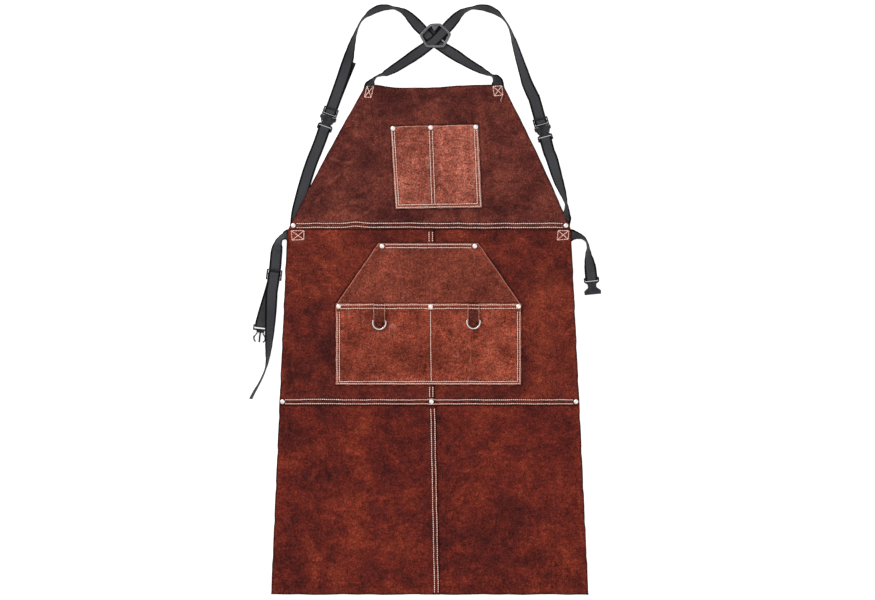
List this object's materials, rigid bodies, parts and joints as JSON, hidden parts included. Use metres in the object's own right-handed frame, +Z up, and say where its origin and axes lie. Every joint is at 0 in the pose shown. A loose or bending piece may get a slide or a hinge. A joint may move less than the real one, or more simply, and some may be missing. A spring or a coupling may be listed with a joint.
{
  "type": "welding apron",
  "caption": "Split-leather bib welding apron with chest and hand pockets, riveted lap seams, hanging D-rings and a cross-back webbing harness with side-release buckles, laid flat.",
  "frame": {"origin": "on the resting surface, under the middle of the laid-out outline", "axes": "+X to the right seen from the front, +Y from the hem towards the collar, +Z up off the surface, out of the apron's front"},
  "size_m": [0.7345, 1.2343, 0.0255],
  "materials": {
    "hide": "suede split hide",
    "pocket_hide": "lighter suede split hide",
    "webbing": "woven webbing",
    "thread": "sewing thread",
    "plastic": "moulded satin",
    "nickel": "bright plated",
    "rivet_cap": "bright plated"
  },
  "bodies": {
    "root": {"bib_panel": "hide", "skirt_upper_left": "hide", "skirt_upper_right": "hide", "skirt_lower_left": "hide", "skirt_lower_right": "hide", "chest_pocket": "pocket_hide", "hand_pocket_top": "pocket_hide", "hand_pocket_front": "pocket_hide", "ring_tab_left": "hide", "ring_tab_right": "hide", "rivet_chest_left": "rivet_cap", "rivet_chest_centre": "rivet_cap", "rivet_chest_right": "rivet_cap", "rivet_hand_top_left": "rivet_cap", "rivet_hand_top_right": "rivet_cap", "rivet_hand_left": "rivet_cap", "rivet_hand_centre": "rivet_cap", "rivet_hand_right": "rivet_cap", "rivet_waist_left": "rivet_cap", "rivet_waist_right": "rivet_cap", "rivet_seam_left": "rivet_cap", "rivet_seam_centre": "rivet_cap", "rivet_seam_right": "rivet_cap", "shoulder_strap_left": "webbing", "shoulder_strap_right": "webbing", "side_strap_left": "webbing", "side_strap_right": "webbing", "waist_strap_left": "webbing", "waist_strap_right": "webbing", "waist_seam": "thread", "lower_seam": "thread", "centre_seam_upper": "thread", "centre_seam_lower": "thread", "chest_pocket_thread": "thread", "chest_centre_thread": "thread", "hand_pocket_thread": "thread", "hand_centre_thread": "thread", "pocket_join_thread": "thread", "pocket_top_thread": "thread", "box_stitch_bib_left": "thread", "box_stitch_bib_right": "thread", "box_stitch_waist_left": "thread", "box_stitch_waist_right": "thread", "left_buckle_socket": "plastic", "right_buckle_socket": "plastic", "waist_insert": "plastic"},
    "d_ring_left": {"d_ring_left": "nickel"},
    "d_ring_right": {"d_ring_right": "nickel"},
    "left_buckle_insert": {"left_buckle_insert": "plastic"},
    "left_buckle_prong_a": {"left_buckle_prong_a": "plastic"},
    "left_buckle_prong_b": {"left_buckle_prong_b": "plastic"},
    "right_buckle_insert": {"right_buckle_insert": "plastic"},
    "right_buckle_prong_a": {"right_buckle_prong_a": "plastic"},
    "right_buckle_prong_b": {"right_buckle_prong_b": "plastic"},
    "waist_socket": {"waist_socket": "plastic"},
    "waist_prong_a": {"waist_prong_a": "plastic"},
    "waist_prong_b": {"waist_prong_b": "plastic"},
    "waist_triglide": {"waist_triglide": "plastic"},
    "cross_slider": {"cross_slider": "plastic"}
  },
  "joints": [
    {"name": "d_ring_left_hinge", "type": "hinge", "parent": "root", "child": "d_ring_left", "pos_m": [-0.0965, -0.0435, 0.0159], "axis": [-1, 0, 0], "range_deg": [0, 150]},
    {"name": "d_ring_right_hinge", "type": "hinge", "parent": "root", "child": "d_ring_right", "pos_m": [0.1, -0.042, 0.0159], "axis": [-1, 0, 0], "range_deg": [0, 150]},
    {"name": "left_buckle_release", "type": "slide", "parent": "root", "child": "left_buckle_insert", "axis": [0.337, 0.9415, 0], "range_m": [0, 0.03], "deforming": ["shoulder_strap_right"]},
    {"name": "right_buckle_release", "type": "slide", "parent": "root", "child": "right_buckle_insert", "axis": [-0.265, 0.9642, 0], "range_m": [0, 0.03], "deforming": ["shoulder_strap_left"]},
    {"name": "left_buckle_prong_a_squeeze", "type": "hinge", "parent": "left_buckle_insert", "child": "left_buckle_prong_a", "pos_m": [-0.19801, 0.37761, 0.0045], "axis": [0, 0, -1], "range_deg": [0, 7], "stiffness_Nm_per_rad": 0.05},
    {"name": "left_buckle_prong_b_squeeze", "type": "hinge", "parent": "left_buckle_insert", "child": "left_buckle_prong_b", "pos_m": [-0.20949, 0.38172, 0.0045], "axis": [0, 0, 1], "range_deg": [0, 7], "stiffness_Nm_per_rad": 0.05},
    {"name": "right_buckle_prong_a_squeeze", "type": "hinge", "parent": "right_buckle_insert", "child": "right_buckle_prong_a", "pos_m": [0.2509, 0.35978, 0.0045], "axis": [0, 0, -1], "range_deg": [0, 7], "stiffness_Nm_per_rad": 0.05},
    {"name": "right_buckle_prong_b_squeeze", "type": "hinge", "parent": "right_buckle_insert", "child": "right_buckle_prong_b", "pos_m": [0.23914, 0.35655, 0.0045], "axis": [0, 0, 1], "range_deg": [0, 7], "stiffness_Nm_per_rad": 0.05},
    {"name": "waist_prong_a_squeeze", "type": "hinge", "parent": "root", "child": "waist_prong_a", "pos_m": [-0.33959, -0.06988, 0.0045], "axis": [0, 0, -1], "range_deg": [0, 7], "stiffness_Nm_per_rad": 0.05},
    {"name": "waist_prong_b_squeeze", "type": "hinge", "parent": "root", "child": "waist_prong_b", "pos_m": [-0.35171, -0.06848, 0.0045], "axis": [0, 0, 1], "range_deg": [0, 7], "stiffness_Nm_per_rad": 0.05},
    {"name": "waist_socket_swing", "type": "hinge", "parent": "root", "child": "waist_socket", "pos_m": [0.34683, 0.04475, 0.0044], "axis": [-0.9955, -0.095, 0], "range_deg": [0, 150], "deforming": ["waist_strap_right"]},
    {"name": "waist_triglide_adjust", "type": "slide", "parent": "root", "child": "waist_triglide", "axis": [-0.1132, -0.9936, 0], "range_m": [-0.01, 0.02], "deforming": ["waist_strap_left"]},
    {"name": "cross_slider_adjust", "type": "slide", "parent": "root", "child": "cross_slider", "axis": [0, 1, 0], "range_m": [-0.012, 0.012]}
  ],
  "couplings": [
    {"joint": "left_buckle_prong_b_squeeze", "follows": "left_buckle_prong_a_squeeze", "ratio": 1},
    {"joint": "right_buckle_prong_b_squeeze", "follows": "right_buckle_prong_a_squeeze", "ratio": 1},
    {"joint": "waist_prong_b_squeeze", "follows": "waist_prong_a_squeeze", "ratio": 1}
  ]
}
